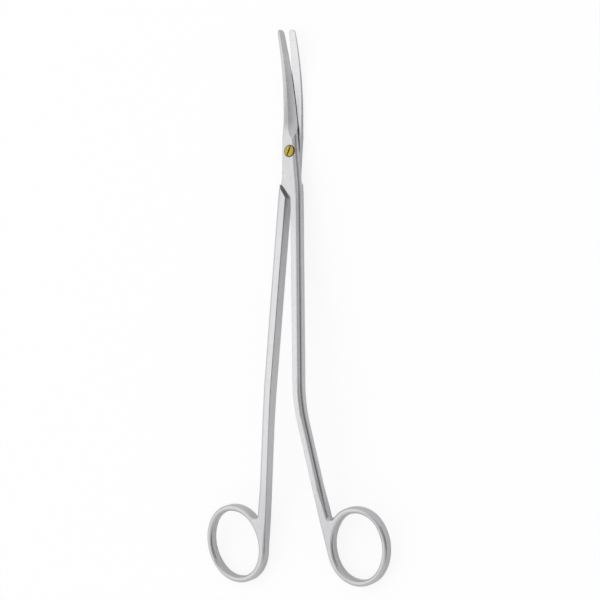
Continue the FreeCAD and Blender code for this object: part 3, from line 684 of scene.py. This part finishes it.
@dataclass
class PivotScrew:
    """The slotted pivot screw; lengths in millimetres, heights from the lap plane."""

    shank_radius: float = 1.8
    head_radius: float = 2.65
    end: float = -2.6
    seat: float = 1.85
    top: float = 3.15
    dome: float = 0.25
    slot_width: float = 0.85
    slot_depth: float = 0.55
    slot_angle: float = 68.0
    edge_break: float = 0.12
    edge_segments: int = 3
    edge_angle: float = 35.0
    dome_rings: int = 8
    facets: int = 96

    def profile(self) -> list[Span]:
        """Lists the turned steps above the shank's end.

        Returns:
            Radius and height of each step, from the seat to the crown.
        """
        steps = [(self.shank_radius, self.seat), (self.head_radius, self.seat),
                 (self.head_radius, self.top - self.dome)]
        for ring in range(self.dome_rings - 1, 0, -1):
            share = ring / self.dome_rings
            steps.append((self.head_radius * share, self.top - self.dome * share ** 2))
        return steps

    def turn_blank(self) -> bpy.types.Object:
        """Extrudes the stepped, domed blank from a disc.

        Returns:
            The blank, in millimetres, upright at the origin.
        """
        bpy.ops.object.select_all(action="DESELECT")
        bpy.ops.mesh.primitive_circle_add(vertices=self.facets, radius=self.shank_radius,
                                          fill_type="NGON", location=(0, 0, self.end))
        blank = bpy.context.object
        blank.name = "slotted_screw"
        bpy.ops.object.transform_apply(location=True, rotation=True, scale=True)
        bpy.ops.object.mode_set(mode="EDIT")
        bpy.ops.mesh.select_all(action="SELECT")
        radius, height = self.shank_radius, self.end
        for next_radius, next_height in self.profile():
            bpy.ops.mesh.extrude_region_move(
                TRANSFORM_OT_translate={"value": (0, 0, next_height - height)})
            share = next_radius / radius
            bpy.ops.transform.resize(value=(share, share, 1))
            radius, height = next_radius, next_height
        bpy.ops.mesh.select_all(action="SELECT")
        bpy.ops.mesh.normals_make_consistent(inside=False)
        bpy.ops.object.mode_set(mode="OBJECT")
        return blank

    def cut_slot(self, blank: bpy.types.Object) -> None:
        """Cuts the driver slot, then breaks the sharp edges.

        Args:
            blank: the turned blank.
        """
        length, depth = 4 * self.head_radius, 2 * self.slot_depth
        bpy.ops.object.select_all(action="DESELECT")
        bpy.ops.mesh.primitive_cube_add(
            size=1, location=(0, 0, self.top), rotation=(0, 0, math.radians(self.slot_angle)),
            scale=(length, self.slot_width, depth))
        cutter = bpy.context.object
        self.activate(blank)
        cut = blank.modifiers.new("slot", "BOOLEAN")
        cut.operation = "DIFFERENCE"
        cut.object = cutter
        bpy.ops.object.modifier_apply(modifier=cut.name)
        bpy.data.objects.remove(cutter)
        soft = blank.modifiers.new("edges", "BEVEL")
        soft.width = self.edge_break
        soft.segments = self.edge_segments
        soft.angle_limit = math.radians(self.edge_angle)
        bpy.ops.object.modifier_apply(modifier=soft.name)
        bpy.ops.object.shade_smooth_by_angle(angle=math.radians(self.edge_angle))

    def activate(self, piece: bpy.types.Object) -> None:
        """Selects one piece alone and makes it the active one.

        Args:
            piece: the piece that the next operators work on.
        """
        bpy.ops.object.select_all(action="DESELECT")
        piece.select_set(True)
        bpy.context.view_layer.objects.active = piece

    def build(self) -> None:
        """Makes the screw, sets it in the joint and dresses it."""
        screw = self.turn_blank()
        self.cut_slot(screw)
        self.activate(screw)
        screw.location = PIVOT
        screw.rotation_euler = (-math.asin(PIVOT_AXIS.y), 0, 0)
        screw.scale = (MM, MM, MM)
        bpy.ops.object.transform_apply(location=True, rotation=True, scale=True)
        finish = GiltFinish(name="gilt_screw", centre=PIVOT, axis=PIVOT_AXIS,
                            head_radius=self.head_radius * MM)
        screw.data.materials.append(finish.material())
        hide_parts("pivot_screw")
        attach(screw, "lower")
        LOG.info("%s turned, slotted and gilt", screw.name)


@dataclass
class Viewpoint:
    """The photograph's camera, set from the pivot; angles in degrees, lengths in millimetres."""

    side_angle: float = 33.686
    rise_angle: float = -4.699
    roll: float = 1.876
    shift_right: float = 3.436
    shift_up: float = -67.935
    distance: float = 1482.2
    per_pixel: float = 0.458
    half_frame: float = 300.0
    nearest: float = 10.0
    farthest: float = 100000.0

    def build(self) -> bpy.types.Object:
        """Places the camera and makes it the scene's own.

        Returns:
            The camera object.
        """
        across = Vector((1, 0, 0))
        along = PIVOT_AXIS.cross(across)
        side, rise = math.radians(self.side_angle), math.radians(self.rise_angle)
        roll = math.radians(self.roll)
        right = across * math.cos(side) - PIVOT_AXIS * math.sin(side)
        back = (across * math.sin(side) * math.cos(rise) + along * math.sin(rise)
                + PIVOT_AXIS * math.cos(side) * math.cos(rise))
        up = back.cross(right)
        turned_right = right * math.cos(roll) + up * math.sin(roll)
        turned_up = up * math.cos(roll) - right * math.sin(roll)
        spot = PIVOT + (back * self.distance + turned_right * self.shift_right
                        + turned_up * self.shift_up) * MM
        data = bpy.data.cameras.new("camera")
        data.sensor_fit = "AUTO"
        data.angle = 2 * math.atan(self.half_frame * self.per_pixel / self.distance)
        data.clip_start = self.nearest * MM
        data.clip_end = self.farthest * MM
        camera = bpy.data.objects.new("camera", data)
        bpy.context.scene.collection.objects.link(camera)
        turn = Matrix((turned_right, turned_up, back)).transposed().to_4x4()
        camera.matrix_world = Matrix.Translation(spot) @ turn
        bpy.context.scene.camera = camera
        LOG.info("camera at %s", tuple(round(value, 4) for value in spot))
        return camera


@dataclass
class Lamp:
    """A rectangular soft light aimed at the middle of the table; metres and watts."""

    name: str
    spot: tuple[float, float, float]
    size: Span
    power: float

    def build(self) -> None:
        """Adds the lamp."""
        data = bpy.data.lights.new(self.name, "AREA")
        data.shape = "RECTANGLE"
        data.size, data.size_y = self.size
        data.energy = self.power
        lamp = bpy.data.objects.new(self.name, data)
        bpy.context.scene.collection.objects.link(lamp)
        lamp.location = self.spot
        lamp.rotation_euler = (-Vector(self.spot)).to_track_quat("-Z", "Y").to_euler()


@dataclass(frozen=True)
class DarkCorner:
    """A darker side of the room that polished metal shows; reach holds two cosines."""

    toward: tuple[float, float, float]
    reach: Span
    level: float

    def share(self, graph: Graph, direction: bpy.types.NodeSocket) -> bpy.types.NodeSocket:
        """Finds how bright the room is that way.

        Args:
            graph: the world's graph.
            direction: where a ray goes.

        Returns:
            A socket that is 1 away from the corner and its level at its middle.
        """
        near = graph.vector_math("DOT_PRODUCT", direction, Vector(self.toward).normalized())
        return graph.ramp(near.outputs["Value"], self.reach, (1.0, self.level))


@dataclass
class Studio:
    """Pale table, soft lamps and a pale surrounding."""

    table_size: float = 6.0
    table_colour: Colour = grey(0.95)
    shadow_share: float = 0.15
    mirrored_shadow_share: float = 0.7
    sky_level: float = 0.9
    corners: tuple[DarkCorner, ...] = (
        DarkCorner((0.966, -0.1, 0.26), (0.707, 0.94), 0.08),
        DarkCorner((0.13, 0.0, 0.99), (0.92, 0.985), 0.3),
    )
    lamps: tuple[Lamp, ...] = (
        Lamp("softbox_over", (-0.94, 0.1, 1.04), (1.7, 1.37), 3.7),
        Lamp("strip_low", (1.6, -0.2, 0.16), (1.6, 0.22), 1.0),
    )

    def mirrored(self, graph: Graph, path: bpy.types.Node) -> bpy.types.NodeSocket:
        """Tells whether a ray comes off polished metal or through glass.

        Args:
            graph: the graph that asks.
            path: its Light Path node.

        Returns:
            A socket that is 1 for such a ray.
        """
        return graph.math("MAXIMUM", path.outputs["Is Glossy Ray"],
                          path.outputs["Is Transmission Ray"])

    def background_share(self, graph: Graph) -> bpy.types.NodeSocket:
        """Finds how much of the white room shows through the table.

        Args:
            graph: the table material's graph.

        Returns:
            A socket that is high for the camera, lower for metal and 0 for light.
        """
        path = graph.add("ShaderNodeLightPath")
        seen = graph.math("MULTIPLY", path.outputs["Is Camera Ray"], 1 - self.shadow_share)
        shown = graph.math("MULTIPLY", self.mirrored(graph, path),
                           1 - self.mirrored_shadow_share)
        return graph.math("MAXIMUM", seen, shown)

    def table(self) -> None:
        """Adds the table top, pale to the eye but still shaded by the piece on it."""
        bpy.ops.object.select_all(action="DESELECT")
        bpy.ops.mesh.primitive_plane_add(size=self.table_size, location=(0, 0, 0))
        top = bpy.context.object
        top.name = "table_top"
        made, graph = new_material("table_white")
        matt = graph.add("ShaderNodeBsdfDiffuse")
        graph.feed(self.table_colour, matt.inputs["Color"])
        clear = graph.add("ShaderNodeBsdfTransparent")
        mix = graph.add("ShaderNodeMixShader")
        for place, source in enumerate((self.background_share(graph), matt.outputs[0],
                                        clear.outputs[0])):
            graph.feed(source, mix.inputs[place])
        graph.show(mix.outputs[0])
        top.data.materials.append(made)

    def sky(self) -> None:
        """Sets a surrounding that is white to the eye and lights the piece at a plain level."""
        world = bpy.data.worlds.new("studio")
        bpy.context.scene.world = world
        world.use_nodes = True
        graph = Graph(world.node_tree)
        path = graph.add("ShaderNodeLightPath")
        direction = graph.add("ShaderNodeTexCoord").outputs["Generated"]
        room = 1.0
        for corner in self.corners:
            room = graph.math("MULTIPLY", room, corner.share(graph, direction))
        level = graph.blend(self.mirrored(graph, path), grey(self.sky_level), room)
        level = graph.blend(path.outputs["Is Camera Ray"], level, grey(1.0))
        shade = graph.add("ShaderNodeBackground")
        graph.feed(level, shade.inputs["Color"])
        graph.show(shade.outputs[0], "ShaderNodeOutputWorld")

    def build(self) -> None:
        """Adds the table, the surrounding and every lamp."""
        self.table()
        self.sky()
        for lamp in self.lamps:
            lamp.build()
        LOG.info("studio set with %d lamps", len(self.lamps))


def main() -> None:
    """Loads the frame, dresses it and sets the studio."""
    logging.basicConfig(level=logging.INFO, format="%(name)s: %(message)s")
    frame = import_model()
    ScissorHalf("upper_half", SteelFinish(name="satin_steel_upper")).build(frame)
    ScissorHalf("lower_half", SteelFinish(name="satin_steel_lower")).build(frame)
    PivotScrew().build()
    Studio().build()
    Viewpoint().build()
    bpy.context.scene.view_settings.view_transform = "Standard"


if __name__ == "__main__":
    main()
